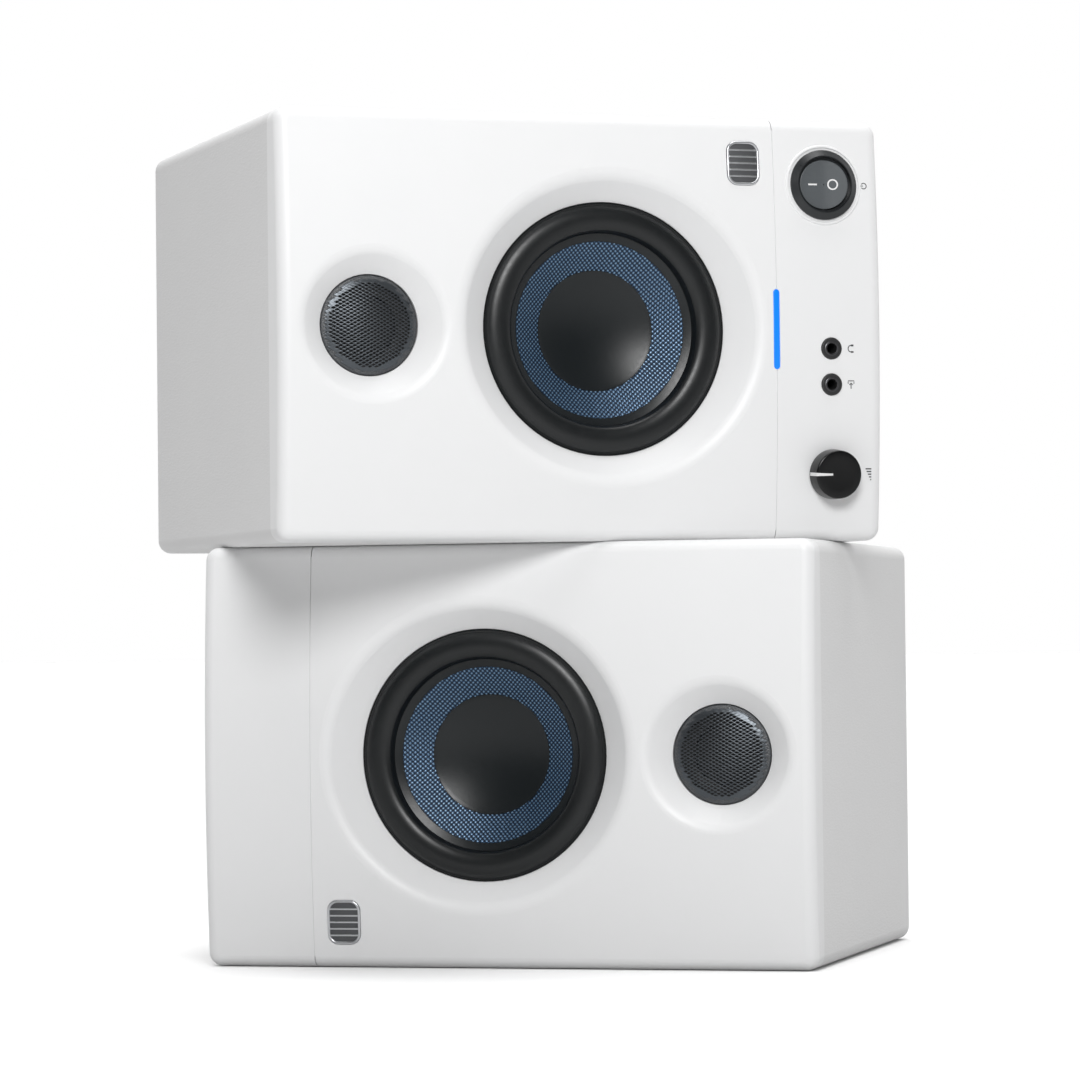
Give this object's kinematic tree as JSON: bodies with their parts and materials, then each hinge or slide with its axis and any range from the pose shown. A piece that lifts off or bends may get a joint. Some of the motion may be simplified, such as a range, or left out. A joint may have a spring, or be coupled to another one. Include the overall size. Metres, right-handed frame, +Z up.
{
  "type": "desktop speakers",
  "caption": "Desktop speakers in white cabinets, stacked on their sides, with woven-cone woofers, domed tweeter grilles, a volume knob, a power rocker and front sockets.",
  "frame": {"origin": "centre of the flat side that the lower speaker rests on", "axes": "+Z up; -Y out of the lower speaker's front; +X along its long side, towards its tweeter"},
  "size_m": [0.266, 0.2546, 0.282],
  "materials": {
    "cabinet_wrap": "matte fine-grained vinyl",
    "front_white": "smooth satin",
    "badge_chrome": "polished",
    "port_black": "fine matte",
    "frame_black": "satin",
    "magnet_grey": "rough",
    "cone_weave": "satin woven fibre",
    "cap_black": "matte",
    "coil_copper": "varnished wire",
    "surround_rubber": "satin",
    "spider_cloth": "treated cloth",
    "dome_silk": "coated silk",
    "grille_black": "satin",
    "lever_red": "satin",
    "lever_black": "satin",
    "board_green": "solder mask",
    "screw_steel": "blackened",
    "light_blue": "lit translucent",
    "socket_black": "satin",
    "pot_metal": "machined",
    "knob_black": "satin",
    "bezel_black": "satin",
    "rocker_black": "satin",
    "phono_metal": "plated",
    "core_steel": "varnished laminations",
    "panel_black": "fine powder coat"
  },
  "bodies": {
    "passive_speaker": {"passive_badge": "badge_chrome", "passive_cabinet": "cabinet_wrap", "passive_crossover_board": "board_green", "passive_front_baffle": "front_white", "passive_lower_trim": "front_white", "passive_port_tube": "port_black", "passive_rear_screws": "screw_steel", "passive_terminal_block": "port_black", "passive_terminal_plate": "port_black", "passive_tweeter_grille": "grille_black", "passive_tweeter_housing": "port_black", "passive_tweeter_magnet": "magnet_grey", "passive_woofer_basket": "frame_black", "passive_woofer_magnet": "magnet_grey", "passive_woofer_spider": "spider_cloth", "passive_woofer_surround": "surround_rubber"},
    "active_speaker": {"active_amplifier_board": "board_green", "active_aux_jack": "socket_black", "active_badge": "badge_chrome", "active_cabinet": "cabinet_wrap", "active_control_board": "board_green", "active_control_panel": "front_white", "active_front_baffle": "front_white", "active_led_board": "board_green", "active_light_bar": "light_blue", "active_line_jacks": "socket_black", "active_mains_inlet": "socket_black", "active_mains_transformer": "core_steel", "active_phones_jack": "socket_black", "active_phono_sockets": "phono_metal", "active_port_tube": "port_black", "active_power_switch_body": "bezel_black", "active_rear_panel": "panel_black", "active_rear_screws": "screw_steel", "active_terminal_block": "port_black", "active_tweeter_grille": "grille_black", "active_tweeter_housing": "port_black", "active_tweeter_magnet": "magnet_grey", "active_volume_pot": "pot_metal", "active_woofer_basket": "frame_black", "active_woofer_magnet": "magnet_grey", "active_woofer_spider": "spider_cloth", "active_woofer_surround": "surround_rubber"},
    "passive_woofer": {"passive_woofer_cone": "cone_weave", "passive_woofer_dust_cap": "cap_black", "passive_woofer_voice_coil": "coil_copper"},
    "active_woofer": {"active_woofer_cone": "cone_weave", "active_woofer_dust_cap": "cap_black", "active_woofer_voice_coil": "coil_copper"},
    "passive_tweeter": {"passive_tweeter_dome": "dome_silk"},
    "active_tweeter": {"active_tweeter_dome": "dome_silk"},
    "power_rocker": {"active_power_rocker": "rocker_black"},
    "volume_control": {"active_volume_knob": "knob_black", "active_volume_shaft": "pot_metal"},
    "treble_control": {"active_treble_knob": "knob_black"},
    "bass_control": {"active_bass_knob": "knob_black"},
    "passive_red_terminal": {"passive_red_lever": "lever_red"},
    "passive_black_terminal": {"passive_black_lever": "lever_black"},
    "active_red_terminal": {"active_red_lever": "lever_red"},
    "active_black_terminal": {"active_black_lever": "lever_black"}
  },
  "joints": [
    {"name": "active_lift", "type": "slide", "parent": "passive_speaker", "child": "active_speaker", "axis": [0, 0, 1], "range_m": [0, 0.1]},
    {"name": "passive_woofer_travel", "type": "slide", "parent": "passive_speaker", "child": "passive_woofer", "axis": [0, -1, 0], "range_m": [-0.003, 0.003], "stiffness_N_per_m": 1000, "deforming": ["passive_woofer_surround", "passive_woofer_spider"]},
    {"name": "passive_tweeter_travel", "type": "slide", "parent": "passive_speaker", "child": "passive_tweeter", "axis": [0, -1, 0], "range_m": [-0.00025, 0.00025], "stiffness_N_per_m": 50},
    {"name": "active_woofer_travel", "type": "slide", "parent": "active_speaker", "child": "active_woofer", "axis": [0.5534, -0.8329, 0], "range_m": [-0.003, 0.003], "stiffness_N_per_m": 1000, "deforming": ["active_woofer_surround", "active_woofer_spider"]},
    {"name": "active_tweeter_travel", "type": "slide", "parent": "active_speaker", "child": "active_tweeter", "axis": [0.5534, -0.8329, 0], "range_m": [-0.00025, 0.00025], "stiffness_N_per_m": 50},
    {"name": "power_rocker_tilt", "type": "hinge", "parent": "active_speaker", "child": "power_rocker", "pos_m": [0.10071, -0.04069, 0.26013], "axis": [-0.0368, 0.0554, 0.9978], "range_deg": [0, 12]},
    {"name": "volume_turn", "type": "hinge", "parent": "active_speaker", "child": "volume_control", "pos_m": [0.10295, -0.04044, 0.1632], "axis": [-0.5522, 0.8311, 0.0659], "range_deg": [-150, 150]},
    {"name": "treble_turn", "type": "hinge", "parent": "active_speaker", "child": "treble_control", "pos_m": [-0.05447, 0.05645, 0.2415], "axis": [0.5534, -0.8329, 0], "range_deg": [-135, 135]},
    {"name": "bass_turn", "type": "hinge", "parent": "active_speaker", "child": "bass_control", "pos_m": [-0.05447, 0.05645, 0.2215], "axis": [0.5534, -0.8329, 0], "range_deg": [-135, 135]},
    {"name": "passive_red_lever_push", "type": "hinge", "parent": "passive_speaker", "child": "passive_red_terminal", "pos_m": [-0.027, 0.0915, 0.062], "axis": [0, 0, 1], "range_deg": [0, 18], "stiffness_Nm_per_rad": 0.05, "springref_deg": -8.59},
    {"name": "passive_black_lever_push", "type": "hinge", "parent": "passive_speaker", "child": "passive_black_terminal", "pos_m": [-0.027, 0.0915, 0.079], "axis": [0, 0, 1], "range_deg": [0, 18], "stiffness_Nm_per_rad": 0.05, "springref_deg": -8.59},
    {"name": "active_red_lever_push", "type": "hinge", "parent": "active_speaker", "child": "active_red_terminal", "pos_m": [-0.05862, 0.06269, 0.194], "axis": [0, 0, -1], "range_deg": [0, 18], "stiffness_Nm_per_rad": 0.05, "springref_deg": -8.59},
    {"name": "active_black_lever_push", "type": "hinge", "parent": "active_speaker", "child": "active_black_terminal", "pos_m": [-0.05862, 0.06269, 0.177], "axis": [0, 0, -1], "range_deg": [0, 18], "stiffness_Nm_per_rad": 0.05, "springref_deg": -8.59}
  ]
}
